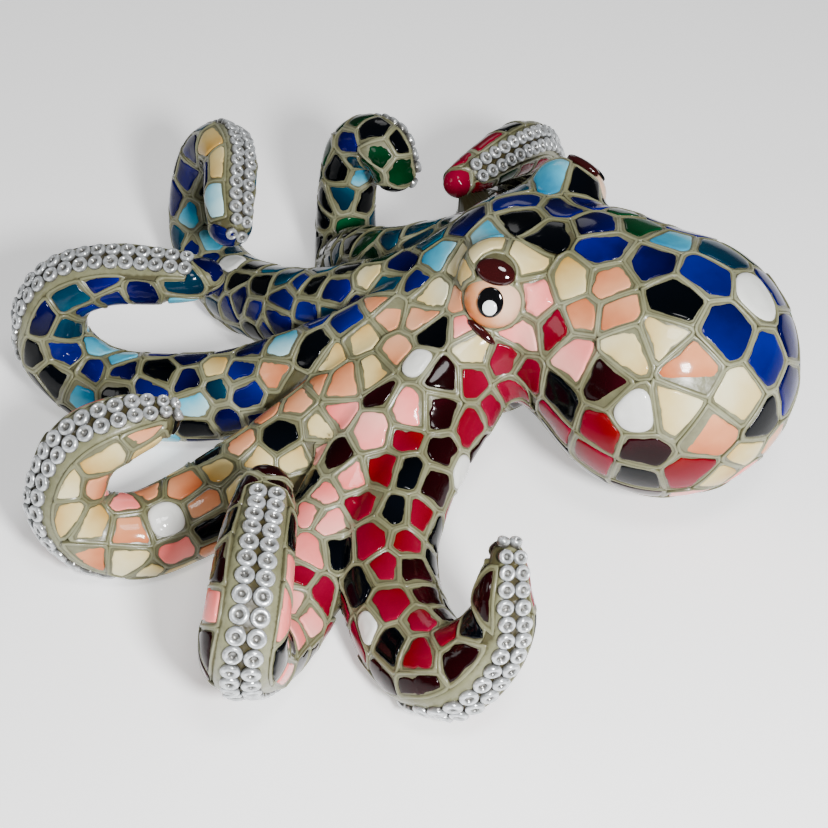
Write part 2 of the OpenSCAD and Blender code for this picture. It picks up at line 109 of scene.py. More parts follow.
# Rings of cells along each arm from root to tip, each from the low edge on the arm's left over its top
ARM_ROWS = [rows.split() for rows in (
    "CPCCKPC KCCPKM MCMKPC KWMCPK CMKCPM CKCKCKC MCCCKCK KMMCKCC CKMCWCM MCKMCKM CKCKCM KCMKCM KCMKC "
    "CKMC",
    "PCEKHPM MKCWHEK CKPMEHP KMCPPEK CKCMPEH MCCPKHP KCPPMPK CKMPPKC PCCPKP MPPKPC KPMPCP PMKCPM KPPCMK "
    "PKCMP PMCKM KMPCK MMMM",
    "MPKHEHN KCHKHEN PKPEEHK KPPHEHM KPEHHEK MPEKHEP HKEHEKH KMEEKHE HKHHEKP EPWHKE EHPEHK HEEHKP "
    "EHPKEH EHKPH EEKHP HEKH",
    "HKERNLT EKHNTLN KPHRNTK KHEKRTN TKNLNTK KNRLNRT TNTENLK NKLRNTR LKRKNTL TNKNLRK KLNLTN KKRLNR "
    "KRRLKT NTNLR TRNTK NRLNT NRTK TLNK",
    "NKRLTGN TKNEGTK NLNKTGN KTRKTNG TNRTKGT NKNKTGK TNKKTG KTNWTN NTRTKG TNRLTK NTRTK TNLTN KNKTG "
    "TNEKT EKTN ENKT LTNT",
    "TGLTGKT KGLTGKT TLGKTG GTKGTK KTKGGT GTKGKT KGKGT TKGGT GGTKG TGKLK GNTGK KGKG",
    "GTKGTKG KGTKGTL CKGTKG KCKGCK CMKCKG KCCMKC CKMCKC KCKMC CKCKM MCKCK KCMKC CKCKC KCKC CKCK CCC",
    "GLTGKTG LGTKGLT TGLKGT GTKLTG KGTGLK TLGKTG GKTGL LTGKG TGKTL GLTK TGKG",
)]

# Rings round the head (0), neck (1) and sac (2): place between them, latitude, and cells from the top down
# the near side and back up the far one
BODY_ROWS = [
    [0, 25, "TEPKN"], [0, 52, "NLHPRPKMT"], [0, 80, "RLHPCCKMGTGL"], [0.4, 90, "KEPCCMKTGNGKN"],
    [0.95, 90, "NNPCMKCTGNLTKG"], [1.5, 90, "NHPKCKMCTGKNGTRL"], [2, 92, "RKEMCCKMTGNKGTNGT"],
    [2, 115, "RHEMKMCTGNKTGRW"], [2, 138, "REHCPKTNGTN"], [2, 161, "KEPMTN"], [2, 180, "H"],
]
MANTLE_FROM_RING = 1.8
# The one ring round each brow: latitude and cells
BROW_ROWS = [[78, "PEHPMPE"], [78, "NTGKPLK"]]

# Cells round the eyes and on the near side, ahead of the rings: x, y, z, letter, letter on the far side
FACE_CELLS = [
    (23, -8, 51, "P", "T"), (18, -1, 62, "E", "L"), (33, 7, 67, "E", "K"), (46, 6, 66, "E", "G"),
    (52, -1, 62, "H", "T"), (38, 1, 61, "D", "N"), (36, -3, 51, "P", "G"), (47, -4, 57, "C", "K"),
    (54, -8, 54, "P", "N"), (61, -1, 66, "H", "G"), (29, -14, 43, "C", "K"), (40, -6, 42, "C", "T"),
    (73, -14, 48, "W", "W"), (67, -7, 61, "E", "T"), (64, -12, 53, "M", "K"), (52, -11, 42, "K", "R"),
]

# Where face cells pass from head to sac, and how far back they are mirrored to the far side
MANTLE_FROM_X, MIRROR_TO_X = 58, 50


def norm(v):
    return np.linalg.norm(v, axis=-1)


def unit(v):
    return v / np.linalg.norm(v, axis=-1, keepdims=True)


def dot(a, b):
    return (a * b).sum(axis=-1)


def across(v, t):
    """The part of v that is square to the unit direction t, as a unit vector."""
    return unit(v - dot(v, t)[..., None] * t)


# ---------------- arms


def spline(p, i, t):
    """Catmull-Rom point of route p, t of the way from point i to the next."""
    b, c = p[i], p[i + 1]
    a = 2 * b - c if i == 0 else p[i - 1]
    d = 2 * c - b if i == len(p) - 2 else p[i + 2]
    return 0.5 * (2 * b + (c - a) * t + (2 * a - 5 * b + 4 * c - d) * t * t + (3 * b - a - 3 * c + d) * t**3)


# Stations per point of a route, and how softly the sucker side's flat meets the round skin
STATIONS, STRIP_BLEND = 12, 0.8


class Arm:
    """An arm's line, radius, heading and sucker side at closely spaced stations."""

    def __init__(self, route, turn, bare_tip):
        self.bare_tip = bare_tip
        p = np.array(route, float)
        q = [spline(p, i, k / STATIONS) for i in range(len(p) - 1) for k in range(STATIONS)]
        q = np.array(q + [p[-1]])
        self.c, self.r = q[:, :3], q[:, 3]
        gap = norm(np.diff(self.c, axis=0))
        self.s = np.concatenate([[0], np.cumsum(gap)])
        self.length = self.s[-1]
        ahead = np.vstack([self.c[1:], self.c[-1:]])
        behind = np.vstack([self.c[:1], self.c[:-1]])
        self.t = unit(ahead - behind)
        under = np.array([0.0, 0.0, -1.0])
        sides = []
        for t in self.t:
            under = across(under, t)
            sides.append(under)
        a = np.radians(turn) * np.clip((self.s / self.length - ROLL_FROM) / ROLL_OVER, 0, 1)[:, None]
        sides = np.array(sides)
        self.u = sides * np.cos(a) + np.cross(self.t, sides) * np.sin(a)

    def at(self, s):
        """Line point, radius, heading and sucker side at the length s."""
        mix = [np.interp(s, self.s, col) for col in (*self.c.T, self.r, *self.t.T, *self.u.T)]
        c, t, u = np.stack(mix[:3], -1), np.stack(mix[4:7], -1), np.stack(mix[7:], -1)
        t = unit(t)
        return c, mix[3], t, across(u, t)

    def field(self, p):
        """Distance to the arm's skin, its gradient, angle from the sucker side and radius, at points p."""
        near = np.argmin((self.c**2).sum(1)[None] - 2 * (p @ self.c.T), axis=1)
        best = None
        for first in (np.maximum(near - 1, 0), np.minimum(near, len(self.c) - 2)):
            a, b = self.c[first], self.c[first + 1]
            e = b - a
            f = np.clip(dot(p - a, e) / dot(e, e), 0, 1)[:, None]
            c = a + e * f
            d = norm(p - c)
            r = self.r[first] * (1 - f[:, 0]) + self.r[first + 1] * f[:, 0]
            u = self.u[first] * (1 - f) + self.u[first + 1] * f
            s = self.s[first] * (1 - f[:, 0]) + self.s[first + 1] * f[:, 0]
            found = (d, c, r, u, s)
            if best is not None:
                better = d < best[0]
                found = [np.where(better if x.ndim == 1 else better[:, None], x, y)
                         for x, y in zip(found, best)]
            best = found
        d, c, r, u, s = best
        q = (p - c) / np.maximum(d, 1e-6)[:, None]
        lift = dot(q, u)
        flat = d * lift - math.cos(STRIP_HALF) * r
        dist, grad = smooth_max(d - r, q, flat, u, STRIP_BLEND)
        angle = np.arccos(np.clip(lift, -1, 1))
        if self.bare_tip > 0:
            angle = angle + TIP_WRAP_TURN * np.clip((s - self.length + TIP_WRAP) / TIP_WRAP_OVER, 0, 1)
        return dist, grad, angle, r


def smooth_min(a, ga, b, gb, k):
    """The smaller of two distances with its gradient, blended where they differ by less than k."""
    h = np.clip(0.5 + 0.5 * (b - a) / k, 0, 1)
    return b * (1 - h) + a * h - k * h * (1 - h), gb * (1 - h)[:, None] + ga * h[:, None]


def smooth_max(a, ga, b, gb, k):
    d, g = smooth_min(-a, -ga, -b, -gb, k)
    return -d, -g


ARMS = [Arm(route, turn, tip[0]) for route, turn, tip in zip(ROUTES, ROLLS, TIPS)]
FAR = 1e3

# ---------------- the whole skin as one field


def eye_c(side):
    return np.array([EYE_X, MID_Y + side * EYE_SIDE, EYE_Z])


def eye_axis(side):
    return unit(np.array([0.25, 0.83 * side, 0.5]))


def brow_tile_c(side):
    """Middle of the dark oval tile over an eye, on the brow's skin."""
    return brow_c(side) + unit(np.array([0.24, side * 0.68, 0.69])) * BROW_R


def brow_c(side):
    return np.array([BROW_X, MID_Y + side * BROW_SIDE, BROW_Z])


# Tapered links between two balls, and how softly each blends into the ones before it
LINKS = [(HEAD_C, HEAD_R, NECK_C, NECK_R, 1), (NECK_C, NECK_R, MANTLE_C, MANTLE_R, 5),
         (HEAD_C, HEAD_R, SKIRT_C, SKIRT_R, 4)]
LINKS += [(np.array([BROW_X + 1, MID_Y + side * BROW_ROOT_SIDE, BROW_ROOT_Z]), BROW_ROOT_R,
           brow_c(side), BROW_R, 6) for side in (-1, 1)]
# How softly arms blend into each other and the body, and how far round an arm its field is worked out
ARM_BLEND, ROOT_BLEND, ARM_RANGE = 2.5, 7.0, 22


def link_field(p, a, ra, b, rb):
    """Distance to two balls and the cone that touches both."""
    axis = b - a
    length = np.linalg.norm(axis)
    axis = axis / length
    k = (ra - rb) / length
    x = dot(p - a, axis)
    y = norm(p - a - x[:, None] * axis)
    f = np.clip((x - k * y / math.sqrt(1 - k * k)) / length, 0, 1)
    c = a + f[:, None] * length * axis
    d = norm(p - c)
    return d - (ra * (1 - f) + rb * f), (p - c) / np.maximum(d, 1e-6)[:, None]


def body_field(p):
    d, g = link_field(p, *LINKS[0][:4])
    for link in LINKS[1:]:
        d, g = smooth_min(*link_field(p, *link[:4]), d, g, link[4])
    return d, g


def figure(p):
    """Distance, outward gradient, nearest arm or -1 on the body, angle from its sucker side, its radius."""
    n = len(p)
    arm_d, arm_g = np.full(n, FAR), np.zeros((n, 3))
    near, angle, girth = np.full(n, -1), np.full(n, math.pi), np.full(n, 10.0)
    near_d = np.full(n, FAR)
    for k, arm in enumerate(ARMS):
        lo, hi = arm.c.min(0) - ARM_RANGE, arm.c.max(0) + ARM_RANGE
        sel = np.nonzero(((p > lo) & (p < hi)).all(1))[0]
        for part in np.array_split(sel, max(1, len(sel) // 60000)):
            d, g, a, r = arm.field(p[part])
            closer = d < near_d[part]
            hit = part[closer]
            near_d[hit], near[hit], angle[hit], girth[hit] = d[closer], k, a[closer], r[closer]
            arm_d[part], arm_g[part] = smooth_min(d, g, arm_d[part], arm_g[part], ARM_BLEND)
    body_d, body_g = body_field(p)
    near[body_d < near_d - 0.5] = -1
    d, g = smooth_min(body_d, body_g, arm_d, arm_g, ROOT_BLEND)
    sunk = -p[:, 2] > d
    d = np.where(sunk, -p[:, 2], d)
    g[sunk] = (0, 0, -1)
    return d, g, near, angle, girth


def onto_skin(p, rounds=3):
    """Points drawn onto the skin, with the skin's normal, nearest arm, angle and girth there."""
    for _ in range(rounds):
        d, g, near, angle, girth = figure(p)
        p = p - g * np.clip(d, -3, 3)[:, None]
    return p, unit(g), near, angle, girth


# ---------------- where the mosaic's cells are

# A ring of an arm's cells: first angle from the sucker side and span in degrees, and stagger in cells
RING_FROM, RING_SPAN, STAGGER = 40, 280, 0.2


def face_room(p, eye_gap, brow_gap):
    """Room that is left at a gap from the eyes' domes and from the middles of the brows' oval tiles."""
    room = [norm(p - eye_c(side)) - EYE_R - eye_gap for side in (-1, 1)]
    room += [norm(p - brow_tile_c(side)) - brow_gap for side in (-1, 1)]
    return np.minimum.reduce(room)


def arm_seeds(k):
    """Staggered rings of cells round arm k: place, colour letter, owner."""
    arm, rows = ARMS[k], ARM_ROWS[k]
    cells = []
    for i, row in enumerate(rows):
        c, r, t, u = arm.at((i + 0.5) * arm.length / len(rows))
        v = np.cross(t, u)
        for j, letter in enumerate(row):
            stagger = STAGGER if i % 2 == 0 else -STAGGER
            a = math.radians(RING_FROM + RING_SPAN * (j + 0.5 + stagger) / len(row))
            cells.append((c + (u * math.cos(a) + v * math.sin(a)) * r, letter, f"arm_{k + 1}"))
    c, r, t, u = arm.at(arm.length)
    cells.append((c + unit(t + u * TIPS[k][1]) * r, rows[-1][len(rows[-1]) // 2], f"arm_{k + 1}"))
    return cells


def ring_seeds(c, t, latitude, row, shift, owner, out_first=None):
    """Cells on the body's skin, met by rays from the point c at a latitude from the direction -t."""
    u = across(np.array([0.0, 0.0, 1.0]) if out_first is None else out_first, t)
    v = np.cross(t, u)
    v = -v if v[1] > 0 else v
    lat = math.radians(latitude)
    cells = []
    for j, letter in enumerate(row):
        a = 2 * math.pi * (j + shift) / len(row)
        out = (u * math.cos(a) + v * math.sin(a)) * math.sin(lat) - t * math.cos(lat)
        x = 0.0
        for _ in range(30):
            x -= body_field((c + out * x)[None])[0][0]
        cells.append((c + out * x, letter, owner))
    return cells


def all_seeds():
    """Every cell that the lists name, in the order in which they claim the skin."""
    cells = [(np.array([x, y, z], float), near, "mantle" if x > MANTLE_FROM_X else "head")
             for x, y, z, near, _ in FACE_CELLS]
    cells += [(np.array([x, 2 * MID_Y - y, z], float), far, "head")
              for x, y, z, _, far in FACE_CELLS if x < MIRROR_TO_X]
    cells += [cell for k in range(len(ARMS)) for cell in arm_seeds(k)]
    for i, (f, latitude, row) in enumerate(BODY_ROWS):
        back = f >= 1
        a, b = (NECK_C, MANTLE_C) if back else (HEAD_C, NECK_C)
        c = a + (b - a) * (f - 1 if back else f)
        owner = "mantle" if f > MANTLE_FROM_RING else "head"
        cells += ring_seeds(c, unit(b - a), latitude, row, 0.5 * (i % 2), owner)
    for side, (latitude, row) in zip((-1, 1), BROW_ROWS):
        cells += ring_seeds(brow_c(side), -unit(np.array([0, side * 1.0, 0.8])), latitude, row, 0.25, "head",
                            np.array([1.0, 0, 0]))
    return cells


def kept_seeds():
    """The cells that lie on the open skin and keep their distance from one another."""
    moved_most, off_skin_most, lowest = 5, 0.3, 1.5
    cells = all_seeds()
    rng = np.random.default_rng(11)
    raw = np.array([c[0] for c in cells])
    shake = rng.uniform(-JITTER, JITTER, raw.shape)
    shake[:2 * len(FACE_CELLS)] *= 0.2
    p, normal, *_ = onto_skin(raw + shake, 5)
    fits = (norm(p - raw) < moved_most) & (np.abs(figure(p)[0]) < off_skin_most)
    fits &= (p[:, 2] > lowest) & (face_room(p, 1.5, 6) > 0)
    keep = []
    for i in np.nonzero(fits)[0]:
        if all(np.linalg.norm(p[i] - p[j]) > CELL_GAP for j in keep):
            keep.append(i)
    return p[keep], normal[keep], [cells[i][1] for i in keep], [cells[i][2] for i in keep]


# ---------------- marching the cells over the skin

SPOKES, REACH_STEPS, REACH, NEIGHBOURS = 40, 15, 10.5, 12
# A spoke is lost off the skin, far from its flat start, or a leap away from its last point
OFF_SKIN, OFF_FLAT, LEAP, NO_ROOM = 0.4, 9, 2, -5
# How softly a cell's corners round off, and the joint between a cell and an eye's dome
CORNER_SOFT, EYE_JOINT = 0.2, 0.2


def fill_gaps(seeds, skin):
    """Adds a cell wherever open skin is far from every seed, in the colour of a near one."""
    p, n, letters, owners = seeds
    q, normal, near, angle, girth = skin
    from_strip, lowest, brow_area = 3.2, 3.5, 17
    bare = np.where(near >= 0, (angle - MOSAIC_FROM) * girth, FAR) > from_strip
    bare &= (q[:, 2] > lowest) & (face_room(q, 2.6, 7.5) > 0)
    q, normal, near = q[bare], normal[bare], near[bare]
    by_brow = np.min([norm(q - brow_c(side)) for side in (-1, 1)], axis=0) < brow_area
    scale = np.where(near < 0, np.where(by_brow, FILL_ARM / FILL_BROW, FILL_ARM / FILL_BODY), 1.0)
    far = np.full(len(q), FAR)
    nearest = np.zeros(len(q), int)
    for k in range(len(p)):
        d = norm(q - p[k]) * scale
        nearest[d < far] = k
        far = np.minimum(far, d)
    first = len(p)
    while far.max() > FILL_ARM:
        i = int(far.argmax())
        k = nearest[i]
        letters.append(letters[(k + 2 * len(letters)) % first] if letters[k] in SPECIAL else letters[k])
        owners.append(owners[k])
        p, n = np.vstack([p, q[i]]), np.vstack([n, normal[i]])
        d = norm(q - q[i]) * scale
        nearest[d < far] = len(p) - 1
        far = np.minimum(far, d)
    return p, n, letters, owners


class Cells:
    """Every cell's spokes over the skin: points, normals and room to the nearest joint along each spoke."""

    def __init__(self, skin):
        self.p, self.n, self.colour, self.owner = fill_gaps(kept_seeds(), skin)
        count = len(self.p)
        ref = np.where(np.abs(self.n[:, 2:]) < 0.9, [[0.0, 0, 1]], [[1.0, 0, 0]])
        self.t1 = across(ref, self.n)
        self.t2 = np.cross(self.n, self.t1)
        phi = np.arange(SPOKES) * 2 * math.pi / SPOKES
        spoke = self.t1[:, None] * np.cos(phi)[None, :, None] + self.t2[:, None] * np.sin(phi)[None, :, None]
        self.rho = np.linspace(0, REACH, REACH_STEPS)
        flat = self.p[:, None, None] + spoke[:, :, None] * self.rho[None, None, :, None]
        q, g, near, angle, girth = onto_skin(flat.reshape(-1, 3))
        shape = (count, SPOKES, REACH_STEPS)
        self.q, self.g = q.reshape(*shape, 3), g.reshape(*shape, 3)
        gaps = norm(self.p[:, None] - self.p[None])
        order = np.argsort(gaps, axis=1)[:, 1:NEIGHBOURS + 1]
        rival = self.p[order]
        mine = ((self.q - self.p[:, None, None]) ** 2).sum(-1)
        theirs = ((self.q[:, :, :, None] - rival[:, None, None]) ** 2).sum(-1)
        apart = np.take_along_axis(gaps, order, 1)[:, None, None]
        rng = np.random.default_rng(3)
        pull = rng.uniform(-UNEVEN, UNEVEN, count)
        room = (theirs - mine[..., None] + (pull[:, None] - pull[order])[:, None, None]) / (2 * apart)
        self.sharp = room.min(-1)
        self.soft = -CORNER_SOFT * np.log(np.exp(-np.clip(room, -20, 20) / CORNER_SOFT).sum(-1))
        band = np.where(near >= 0, (angle - MOSAIC_FROM) * girth, FAR).reshape(shape)
        # Cells also end over the table, and where the skin has bent away from their own normal
        limit = np.minimum(band, self.q[..., 2] - 0.4)
        limit = np.minimum(limit, 12 * (dot(self.g, self.n[:, None, None]) + 0.3))
        strays = (np.abs(figure(q)[0]) > OFF_SKIN).reshape(shape)
        strays |= norm(self.q - flat) > OFF_FLAT
        for step in range(1, REACH_STEPS):
            lost = strays[:, :, step] | strays[:, :, step - 1]
            lost |= norm(self.q[:, :, step] - self.q[:, :, step - 1]) > LEAP
            strays[:, :, step] = lost
            self.q[:, :, step][lost] = self.q[:, :, step - 1][lost]
            self.g[:, :, step][lost] = self.g[:, :, step - 1][lost]
        limit = np.where(strays, NO_ROOM, limit)
        limit = np.minimum(limit, face_room(self.q, EYE_JOINT, 5.4))
        self.sharp = np.minimum(self.sharp, limit)
        self.soft = np.minimum(self.soft, limit)

    def reach(self, i, level, soft=False):
        """How far along each spoke of cell i the room to the joints stays above the level."""
        room = (self.soft if soft else self.sharp)[i]
        low = room < np.asarray(level)[..., None]
        first = np.where(low.any(1), low.argmax(1), REACH_STEPS - 1)
        before = np.maximum(first - 1, 0)
        rows = np.arange(SPOKES)
        a, b = room[rows, before], room[rows, first]
        f = np.clip((a - level) / np.maximum(a - b, 1e-6), 0, 1)
        return self.rho[before] + f * (self.rho[first] - self.rho[before]) * (first > 0)

    def lay(self, i, reach, height):
        """Points over the skin at the given reach along each spoke, raised by a height."""
        x = np.clip(reach / self.rho[1], 0, REACH_STEPS - 1.001)
        k = x.astype(int)
        f = (x - k)[:, None]
        rows = np.arange(SPOKES)
        p = self.q[i, rows, k] * (1 - f) + self.q[i, rows, k + 1] * f
        n = unit(self.g[i, rows, k] * (1 - f) + self.g[i, rows, k + 1] * f)
        return p + n * np.asarray(height)[..., None]


def ease(loop, rounds):
    """Smooths values round a closed loop."""
    for _ in range(rounds):
        loop = (np.roll(loop, 1) + 2 * loop + np.roll(loop, -1)) / 4
    return loop


# ---------------- mesh building


def new_mesh(name, points, faces):
    mesh = bpy.data.meshes.new(name)
    mesh.from_pydata(points, [], faces)
    return mesh


def new_object(name, data):
    obj = bpy.data.objects.new(name, data)
    bpy.context.scene.collection.objects.link(obj)
    return obj


class Shells:
    """Collects closed shells of one piece, with two float attributes per vertex."""

    def __init__(self):
        self.points, self.faces, self.depth, self.lean, self.count = [], [], [], [], 0

    def add(self, points, faces, depth=0.0, lean=0.0):
        self.points.append(points)
        self.faces.extend([tuple(v + self.count for v in f) for f in faces])
        self.depth.append(np.broadcast_to(depth, len(points)))
        self.lean.append(np.broadcast_to(lean, len(points)))
        self.count += len(points)

    def piece(self, name, material):
        mesh = new_mesh(name, (np.vstack(self.points) * MM).tolist(), self.faces)
        for label, parts in (("depth", self.depth), ("lean", self.lean)):
            layer = mesh.attributes.new(label, "FLOAT", "POINT")
            layer.data.foreach_set("value", np.concatenate(parts).astype(np.float32))
        mesh.polygons.foreach_set("use_smooth", [True] * len(mesh.polygons))
        mesh.update()
        mesh.materials.append(material)
        return new_object(name, mesh)


def ring_stack(rings, top, bottom):
    """Points and faces of equal rings stacked from the bottom up, closed by a middle point at each end."""
    m = len(rings[0])
    points = np.vstack([*rings, [bottom], [top]])
    faces = []
    for k in range(len(rings) - 1):
        for j in range(m):
            a, b = k * m + j, k * m + (j + 1) % m
            faces.append((a, b, b + m, a + m))
    low, high = len(rings) * m, len(rings) * m + 1
    last = (len(rings) - 1) * m
    faces += [(low, (j + 1) % m, j) for j in range(m)]
    faces += [(high, last + j, last + (j + 1) % m) for j in range(m)]
    return points, faces


# Cast pad of a cell: room to the joint, height over the skin, how dark the joint wash and painted shade lie
# (darker where the pad lies low), from the foot in
PAD_EDGE = [(-0.2, -1.2, 0.9), (-0.2, 0.1, 0.7), (-0.06, 0.3, 0.25), (0.22, 0.38, 0.0), (0.5, 0.28, 0.1),
            (0.72, 0.04, 0.75), (0.95, 0.0, 0.45)]
# Darkness of the pad's floor round its tile, as painted shade, and how deep the pad's root goes
PAD_FLOOR_DARK, PAD_ROOT = 0.3, 1.4
# Random lift of a pad, and how far it tilts
PAD_LIFT, PAD_TILT = (-0.12, 0.16), 0.035


def add_pad(shells, cells, i, rng):
    """A cell of the casting: a shallow tray, set slightly askew, whose rim meets its neighbours' rims."""
    lift = rng.uniform(*PAD_LIFT)
    askew = cells.t1[i] * rng.normal() * PAD_TILT + cells.t2[i] * rng.normal() * PAD_TILT
    rings, depth = [], []
    # Each ring's darkness paints shade into the pad's low parts, over the dark wash of its joint
    for room, height, dark in PAD_EDGE:
        rings.append(cells.lay(i, cells.reach(i, room), height))
        depth += [dark] * SPOKES
    inner = cells.reach(i, PAD_EDGE[-1][0])
    for f in (0.66, 0.33):
        rings.append(cells.lay(i, inner * f, 0.0))
        depth += [PAD_FLOOR_DARK] * SPOKES
    p, n = cells.p[i], cells.n[i]
    for ring in rings[1:]:
        ring += n * (lift + (ring - p) @ askew)[:, None]
    points, faces = ring_stack(rings, p + n * lift, p - n * PAD_ROOT)
    shells.add(points, faces, np.array(depth + [1.0, 0.0]))


# Waves of a tile's hand-poured edge: how many round it, and how high
EDGE_WAVES = ((1, 0.3), (2, 0.2), (3, 0.16), (5, 0.09), (9, 0.06))
# Room left to the joint: at least, at most, and always
EDGE_ROOM, EDGE_STOP = (0.68, 2.4), 0.62


def tile_outline(cells, i, rng):
    """Reach of a cell's enamel along each spoke: inside the pad's rim, with an uneven hand-poured edge."""
    phi = np.arange(SPOKES) * 2 * math.pi / SPOKES
    middle = cells.sharp[i, :, 0].min()
    margin = min(0.95 + 0.4 * rng.random(), max(0.35 * middle, 0.75))
    wave = sum(rng.normal() * size * np.cos(k * phi + rng.random() * 6.3) for k, size in EDGE_WAVES)
    reach = cells.reach(i, np.clip(margin + wave * min(1, middle / 3.5), *EDGE_ROOM), soft=True)
    return np.minimum(reach, cells.reach(i, EDGE_STOP))


# Height of a tile's middle over the skin, flat or plump, and of its rounded shoulder
FLAT_SWELL, PLUMP_SWELL, SHOULDER = 0.42, 1.7, 0.36
# Depth of a tile's or pearl's underside, and the mean reach under which a cell stays empty
INLAY_ROOT, SMALLEST_TILE = 0.4, 0.8


def add_tile(shells, cells, i, rng, swell=FLAT_SWELL):
    """A poured drop of enamel that fills its cell."""
    reach = tile_outline(cells, i, rng)
    if reach.mean() < SMALLEST_TILE:
        return
    rings = [cells.lay(i, reach, -0.35), cells.lay(i, reach, 0.1)]
    for inset, height in ((0.12, 0.26), (0.35, SHOULDER)):
        rings.append(cells.lay(i, np.maximum(reach - inset, 0.3), height))
    for f in (0.85, 0.7, 0.35):
        inner = np.minimum(reach * f, np.maximum(reach - 0.5, 0.25))
        rings.append(cells.lay(i, inner, SHOULDER + (swell - SHOULDER) * (1 - f * f) ** 0.5))
    p, n = cells.p[i], cells.n[i]
    points, faces = ring_stack(rings, p + n * (swell + 0.03), p - n * INLAY_ROOT)
    turn = rng.random() * 2 * math.pi
    way = cells.t1[i] * math.cos(turn) + cells.t2[i] * math.sin(turn)
    lean = (points - p) @ way / max(reach.max(), 1)
    shells.add(points, faces, rng.random(), lean)


# Profile of a pearl: share of its reach, and height
PEARL = ((0.97, 0.45), (0.9, 0.75), (0.78, 0.95), (0.62, 1.05), (0.5, 1.0), (0.4, 1.08), (0.2, 1.15))
PEARL_TOP = 1.17


def add_pearl(shells, cells, i, rng):
    """A domed cabochon with a shallow ring round its middle."""
    reach = ease(cells.reach(i, 0.75, soft=True), 4)
    radius = reach.mean()
    reach = 0.35 * reach + 0.65 * ease(np.minimum(reach, 1.25 * radius), 10)
    rings = [cells.lay(i, reach, -INLAY_ROOT), cells.lay(i, reach, 0.1)]
    for f, height in PEARL:
        rings.append(cells.lay(i, reach * f, height))
    p, n = cells.p[i], cells.n[i]
    points, faces = ring_stack(rings, p + n * PEARL_TOP, p - n * INLAY_ROOT)
    shells.add(points, faces, rng.random(), 0.0)


# ---------------- the cast core under the pads

# How far the core lies under the pads, the grid that fuses it, and the thickness of its shell
CORE_DROP, VOXEL, SHELL = 0.5, 0.9, 2.2
BALLS_PER_LINK, BALL_EVERY = 7, 2.5
# Patches of fewer quads than this are left out
SMALLEST_ISLAND = 12


def add_ball(points, faces, centre, r, rings=20, sides=32):
    base = len(points)
    for i in range(1, rings):
        b = math.pi * i / rings
        for j in range(sides):
            a = 2 * math.pi * j / sides
            out = np.array([math.sin(b) * math.cos(a), math.sin(b) * math.sin(a), math.cos(b)])
            points.append(centre + r * out)
    top, bottom = len(points), len(points) + 1
    points += [centre + np.array([0, 0, r]), centre - np.array([0, 0, r])]
    for i in range(rings - 2):
        for j in range(sides):
            a, b = base + i * sides + j, base + i * sides + (j + 1) % sides
            faces.append((a, a + sides, b + sides, b))
    last = base + (rings - 2) * sides
    faces += [(top, base + j, base + (j + 1) % sides) for j in range(sides)]
    faces += [(bottom, last + (j + 1) % sides, last + j) for j in range(sides)]


def core_skin():
    """Points and quads near the figure's skin: balls along every link and arm, fused on a grid."""
    points, faces = [], []
    for a, ra, b, rb, _ in LINKS:
        for f in np.linspace(0, 1, BALLS_PER_LINK):
            add_ball(points, faces, a * (1 - f) + b * f, ra * (1 - f) + rb * f)
    for arm in ARMS:
        for s in np.linspace(0, arm.length, int(arm.length / BALL_EVERY)):
            c, r, *_ = arm.at(s)
            add_ball(points, faces, c, r, 12, 20)
    obj = new_object("blank", new_mesh("blank", [tuple(p) for p in points], faces))
    remesh = obj.modifiers.new("fuse", "REMESH")
    remesh.mode = "VOXEL"
    remesh.voxel_size = VOXEL
    fused = obj.evaluated_get(bpy.context.evaluated_depsgraph_get()).to_mesh()
    p = np.empty(len(fused.vertices) * 3)
    fused.vertices.foreach_get("co", p)
    quads = np.empty(len(fused.loops), int)
    fused.loops.foreach_get("vertex_index", quads)
    obj.to_mesh_clear()
    bpy.data.objects.remove(obj)
    return p.reshape(-1, 3), quads.reshape(-1, 4)


def core_pieces(cells, shells, skin, quads):
    """Sinks the skin under the pads, keeps it full height beside the suckers and eyes, and shares it out."""
    p, n, near, angle, girth = skin
    drop = np.full(len(p), CORE_DROP)
    on_arm = near >= 0
    strip = np.clip(((angle - MOSAIC_FROM) * girth + 0.7) / 0.9, 0, 1)
    drop = np.where(on_arm, drop * strip, drop)
    for side in (-1, 1):
        drop *= np.clip((norm(p - eye_c(side)) - EYE_R - EYE_JOINT) / 0.8, 0, 1)
    drop *= np.clip((p[:, 2] - 0.2) / 0.8, 0, 1)
    owners = sorted(set(cells.owner))
    code = np.array([owners.index(o) for o in cells.owner])
    middle = p[quads].mean(1)
    whose = np.empty(len(middle), int)
    for part in np.array_split(np.arange(len(middle)), max(1, len(middle) // 20000)):
        whose[part] = code[np.argmin((cells.p**2).sum(1)[None] - 2 * middle[part] @ cells.p.T, axis=1)]
    face_near = near[quads[:, 0]]
    arms_own = [c for c, owner in enumerate(owners) if owner.startswith("arm_")]
    for k in range(len(ARMS)):
        whose[(face_near == k) & np.isin(whose, arms_own)] = owners.index(f"arm_{k + 1}")
    p = p - n * drop[:, None]
    # Painted shade on the core's skin: darkest on the strip between the sucker rows, dark where it lies sunk
    # under the pads, light elsewhere
    under_pads, strip_middle, elsewhere = 0.8, 1.1, 0.2
    dark = np.where(on_arm & (angle < STRIP_DARK), strip_middle, elsewhere)
    dark = np.where(drop > 0.3, under_pads, dark)
    for c, owner in enumerate(owners):
        for island in islands(quads[whose == c]):
            add_patch(shells[owner], p, n, island, dark)


def islands(quads):
    """Splits quads into connected groups and leaves out the crumbs."""
    parent = {}

    def root(v):
        while parent[v] != v:
            parent[v] = parent[parent[v]]
            v = parent[v]
        return v

    for q in quads.tolist():
        for v in q:
            parent.setdefault(v, v)
        a = root(q[0])
        for v in q[1:]:
            parent[root(v)] = a
    roots = np.array([root(v) for v in quads[:, 0].tolist()])
    return [quads[roots == r] for r in np.unique(roots) if (roots == r).sum() > SMALLEST_ISLAND]


